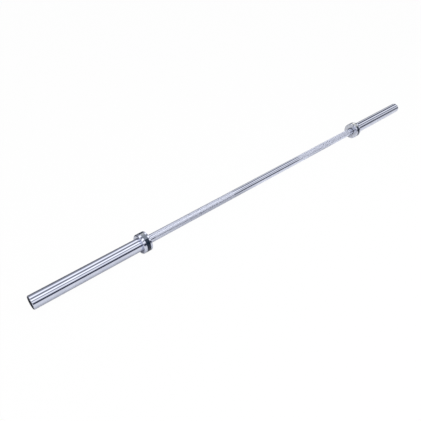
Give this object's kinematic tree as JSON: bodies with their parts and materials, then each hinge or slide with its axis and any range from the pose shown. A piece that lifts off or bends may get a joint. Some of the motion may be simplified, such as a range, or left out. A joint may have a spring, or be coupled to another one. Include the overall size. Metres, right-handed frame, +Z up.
{
  "type": "olympic barbell",
  "caption": "Chrome olympic barbell: knurled steel shaft with a smooth middle and ring marks, and a flanged sleeve spinning on bronze bushings at each end.",
  "frame": {"origin": "middle of the shaft, on its axis", "axes": "+X along the bar towards the right sleeve, +Z up as the bar lies on the floor"},
  "size_m": [2.2, 0.076, 0.076],
  "materials": {
    "shaft_chrome": "chrome plate over diamond knurling, smooth in the middle",
    "sleeve_chrome": "polished chrome plate",
    "collar_chrome": "chrome plate, turned faces and polished rims",
    "black_band": "smooth black rubber",
    "black_cap": "moulded, fine matt grain",
    "bronze": "oil-filled sintered bronze",
    "washer_steel": "ground",
    "spring_steel": "oiled black oxide"
  },
  "bodies": {
    "shaft": {"shaft": "shaft_chrome", "left_inner_thrust_washer": "washer_steel", "left_outer_thrust_washer": "washer_steel", "left_retaining_ring": "spring_steel", "right_inner_thrust_washer": "washer_steel", "right_outer_thrust_washer": "washer_steel", "right_retaining_ring": "spring_steel"},
    "left_sleeve": {"left_sleeve_tube": "sleeve_chrome", "left_collar": "collar_chrome", "left_collar_band": "black_band", "left_collar_pin": "spring_steel", "left_inner_bushing": "bronze", "left_outer_bushing": "bronze", "left_end_cap": "black_cap"},
    "right_sleeve": {"right_sleeve_tube": "sleeve_chrome", "right_collar": "collar_chrome", "right_collar_band": "black_band", "right_collar_pin": "spring_steel", "right_inner_bushing": "bronze", "right_outer_bushing": "bronze", "right_end_cap": "black_cap"}
  },
  "joints": [
    {"name": "left_sleeve_spin", "type": "hinge", "parent": "shaft", "child": "left_sleeve", "pos_m": [-0.88, 0, 0], "axis": [1, 0, 0], "continuous": true},
    {"name": "right_sleeve_spin", "type": "hinge", "parent": "shaft", "child": "right_sleeve", "pos_m": [0.88, 0, 0], "axis": [1, 0, 0], "continuous": true}
  ]
}
